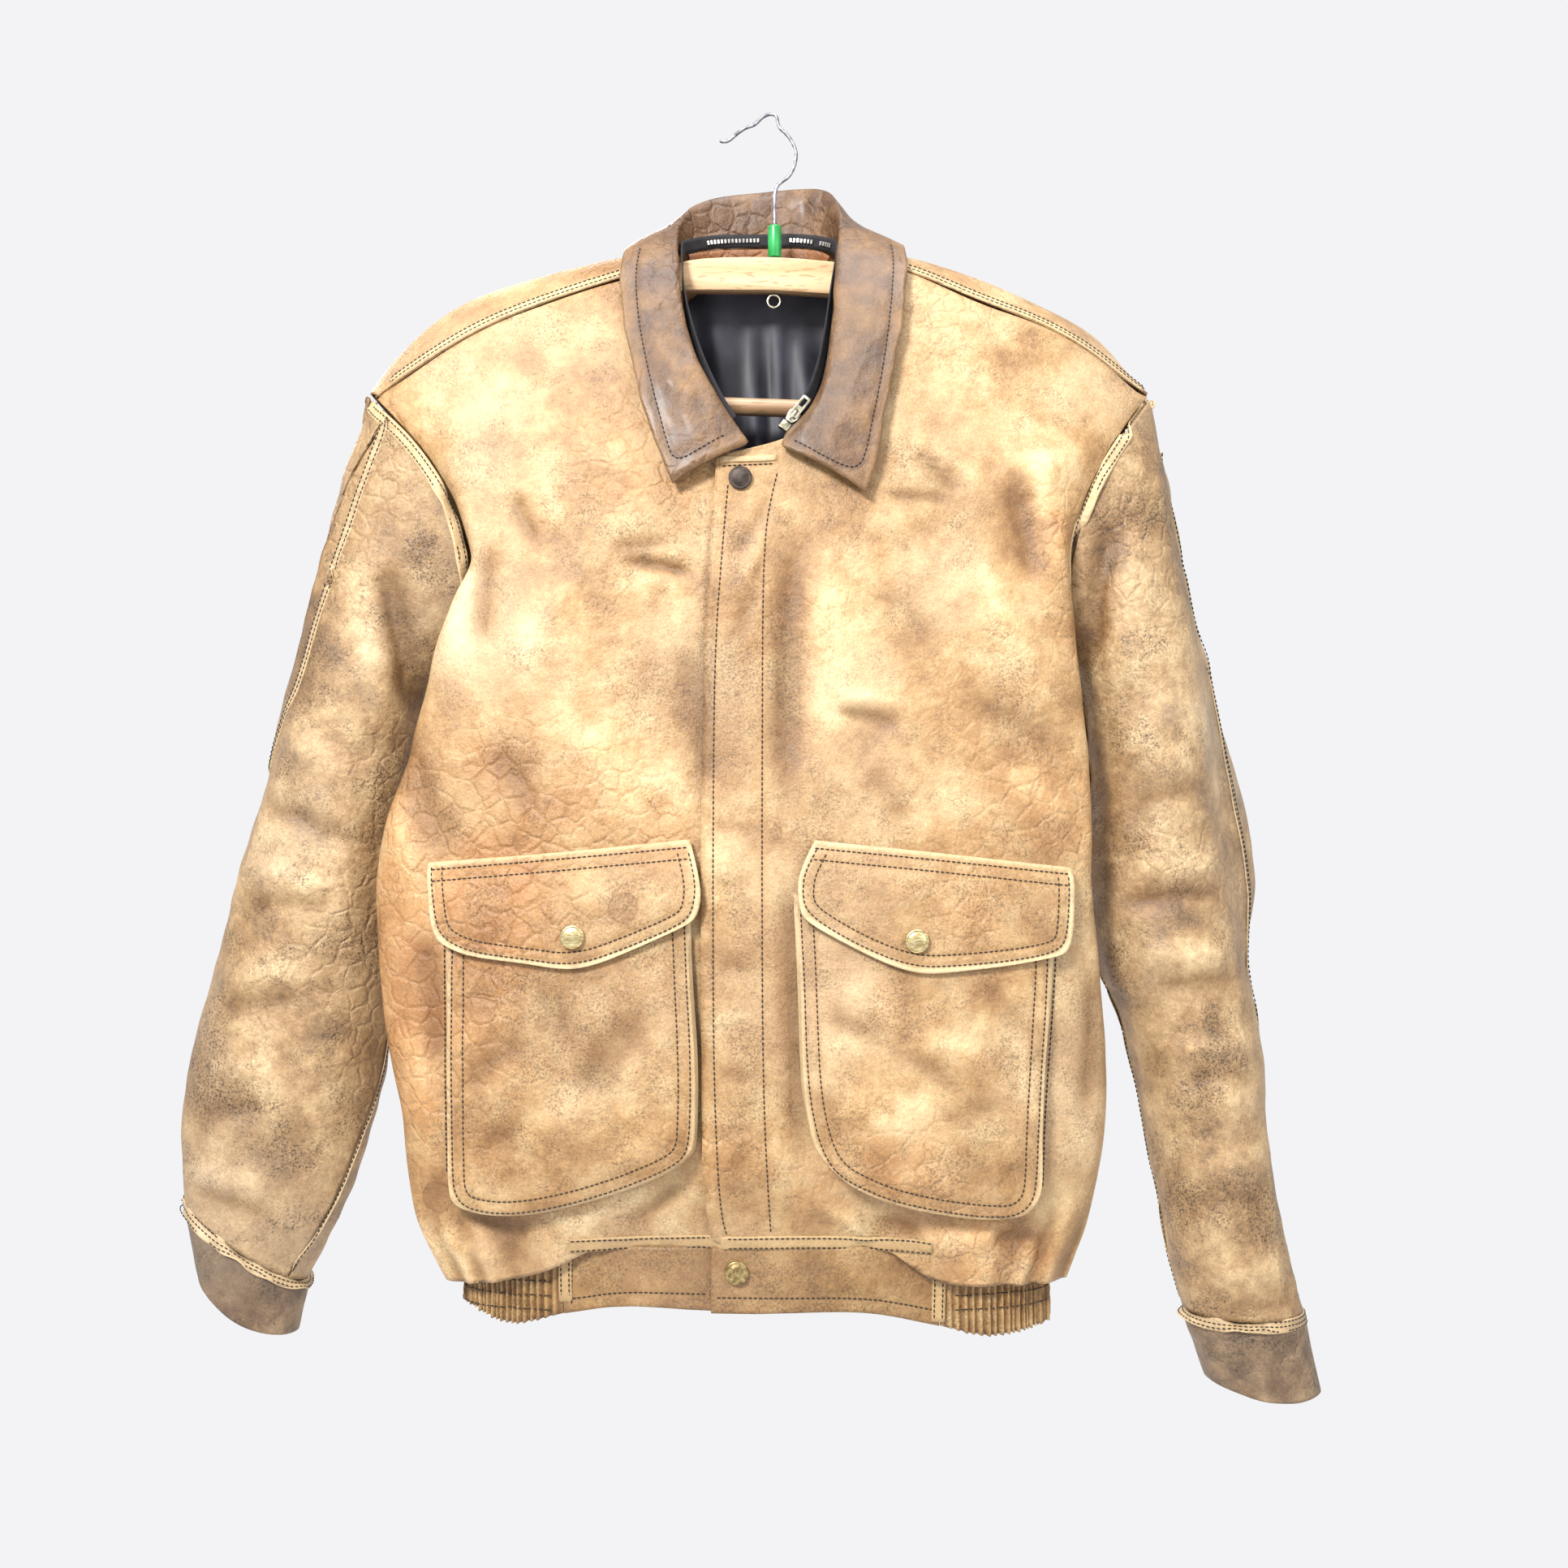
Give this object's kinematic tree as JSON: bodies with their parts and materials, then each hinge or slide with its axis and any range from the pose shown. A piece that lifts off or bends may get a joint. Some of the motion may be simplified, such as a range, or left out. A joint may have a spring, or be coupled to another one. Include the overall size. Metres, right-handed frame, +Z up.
{
  "type": "worn leather jacket on a wooden hanger",
  "caption": "Fastened leather blouson jacket with a pointed collar, flapped bellows pockets, gathered waistband and long sleeves, hung on a wooden hanger by its bent wire hook.",
  "frame": {"origin": "top of the inside of the hanger's hook, where it bears on a nail or rail", "axes": "+Z up as it hangs, +X to the wearer's left, +Y towards the wall behind, so the fronts face -Y"},
  "size_m": [0.7656, 0.1668, 0.8596],
  "materials": {
    "leather_tan": "worn, semi-matt, mottled",
    "leather_sleeve": "worn, speckled",
    "leather_brown": "glossy, creased",
    "leather_cuff": "worn, dull",
    "zip_tape": "woven",
    "lining": "satin",
    "brass": "dull",
    "dark_snap": "dull",
    "aged_brass": "tarnished",
    "nickel": "dull nickel",
    "beech": "clear varnish",
    "beech_bar": "clear varnish",
    "steel_wire": "pitted",
    "green_plastic": "moulded"
  },
  "bodies": {
    "jacket": {"front_right": "leather_tan", "front_left": "leather_tan", "back": "leather_tan", "waistband_right": "leather_tan", "waistband_left": "leather_tan", "elastic_right": "leather_tan", "elastic_left": "leather_tan", "waistband_back": "leather_tan", "pocket_right": "leather_tan", "flap_right": "leather_tan", "snap_pocket_right": "brass", "pocket_left": "leather_tan", "flap_left": "leather_tan", "snap_pocket_left": "brass", "snap_neck": "dark_snap", "snap_waist": "aged_brass", "collar": "leather_brown", "liner_zip_tape": "zip_tape", "neck_facing": "leather_brown", "back_lining": "lining", "sleeve_right_top": "leather_sleeve", "sleeve_right_under": "leather_sleeve", "cuff_right": "leather_cuff", "sleeve_left_top": "leather_sleeve", "sleeve_left_under": "leather_sleeve", "cuff_left": "leather_cuff", "zip_slider": "nickel", "zip_box": "nickel", "zip_arch": "nickel", "hanger_arm": "beech", "trouser_bar": "beech_bar", "screw_eye": "nickel", "hook": "steel_wire", "hook_sleeve": "green_plastic"},
    "pull_tab": {"zip_pull": "nickel"}
  },
  "joints": [
    {"name": "pull_tab_swing", "type": "hinge", "parent": "jacket", "child": "pull_tab", "pos_m": [0.01445, -0.06012, -0.21623], "axis": [0.8, 0, -0.6], "range_deg": [0, 110]}
  ]
}
